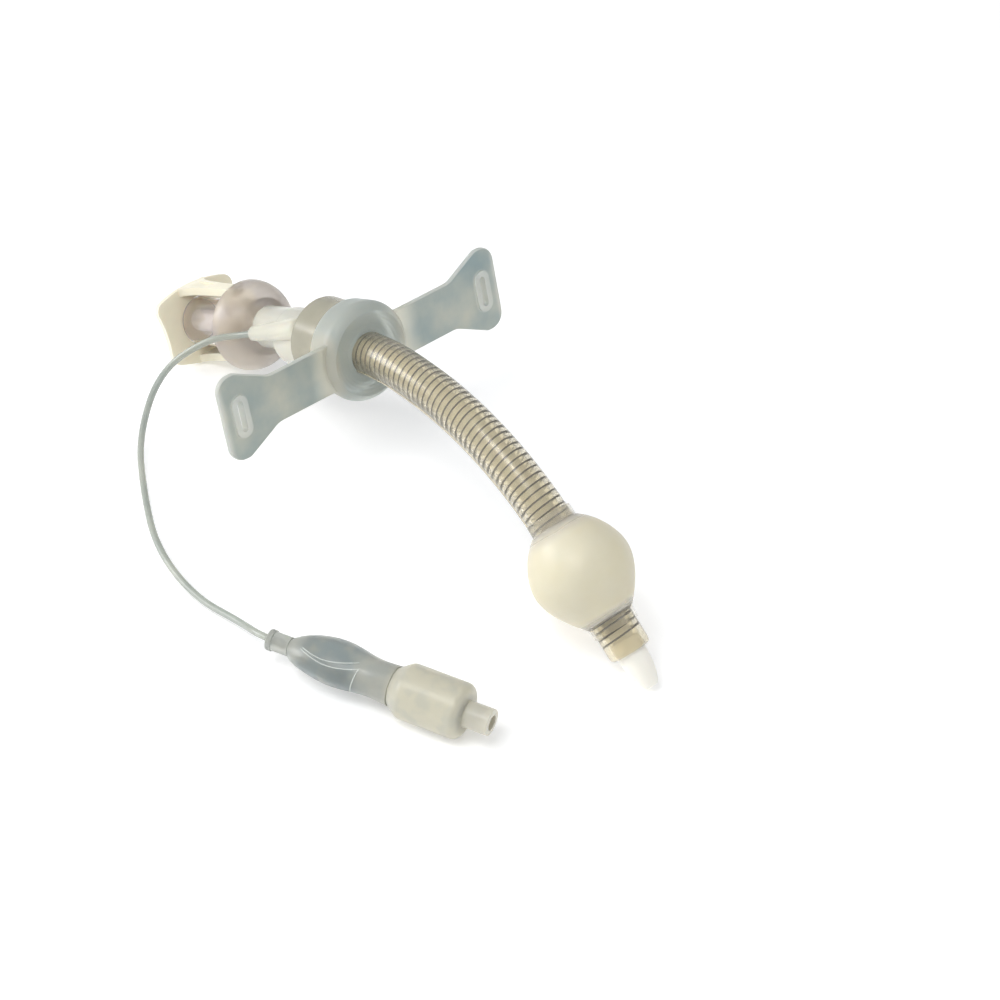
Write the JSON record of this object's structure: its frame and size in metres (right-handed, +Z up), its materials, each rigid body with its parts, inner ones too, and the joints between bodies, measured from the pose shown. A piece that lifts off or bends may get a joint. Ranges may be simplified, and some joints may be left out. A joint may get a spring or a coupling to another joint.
{
  "type": "tracheostomy tube",
  "caption": "Cuffed, wire-reinforced tracheostomy tube with neck flange, 15 mm connector, obturator in place and inflation line with pilot balloon.",
  "frame": {"origin": "on the floor, under the middle of the tube with its obturator, in the tube's own plane", "axes": "+Z up from the floor the part lies on, +X from the connector towards the tube's tip, Y across the flange's wings"},
  "size_m": [0.2036, 0.1235, 0.0585],
  "materials": {
    "ivory_plastic": "satin ivory",
    "white_plastic": "white",
    "clear_plastic": "clear cone, frosted skirt",
    "milky_silicone": "milky",
    "tube_silicone": "translucent beige",
    "wire": "fine steel wire",
    "collar_plastic": "translucent beige",
    "flange_silicone": "translucent bluish grey",
    "cuff_silicone": "satin cream",
    "line_pvc": "clear greenish grey",
    "pilot_pvc": "clear grey",
    "seal_rubber": "black rubber"
  },
  "bodies": {
    "tube": {"obturator_handle": "ivory_plastic", "obturator_rod": "white_plastic", "connector": "clear_plastic", "hub": "milky_silicone", "shaft_tube": "tube_silicone", "reinforcing_wire": "wire", "flange_collar": "collar_plastic", "neck_flange": "flange_silicone", "cuff": "cuff_silicone", "inflation_line": "line_pvc", "pilot_balloon": "pilot_pvc", "valve_body": "ivory_plastic", "valve_port": "white_plastic", "valve_seal": "seal_rubber", "valve_spring": "wire"},
    "plunger": {"valve_plunger": "white_plastic"}
  },
  "joints": [
    {"name": "valve_press", "type": "slide", "parent": "tube", "child": "plunger", "axis": [-0.9317, -0.3633, 0], "range_m": [0, 0.0018], "stiffness_N_per_m": 200, "springref_m": -0.001}
  ]
}
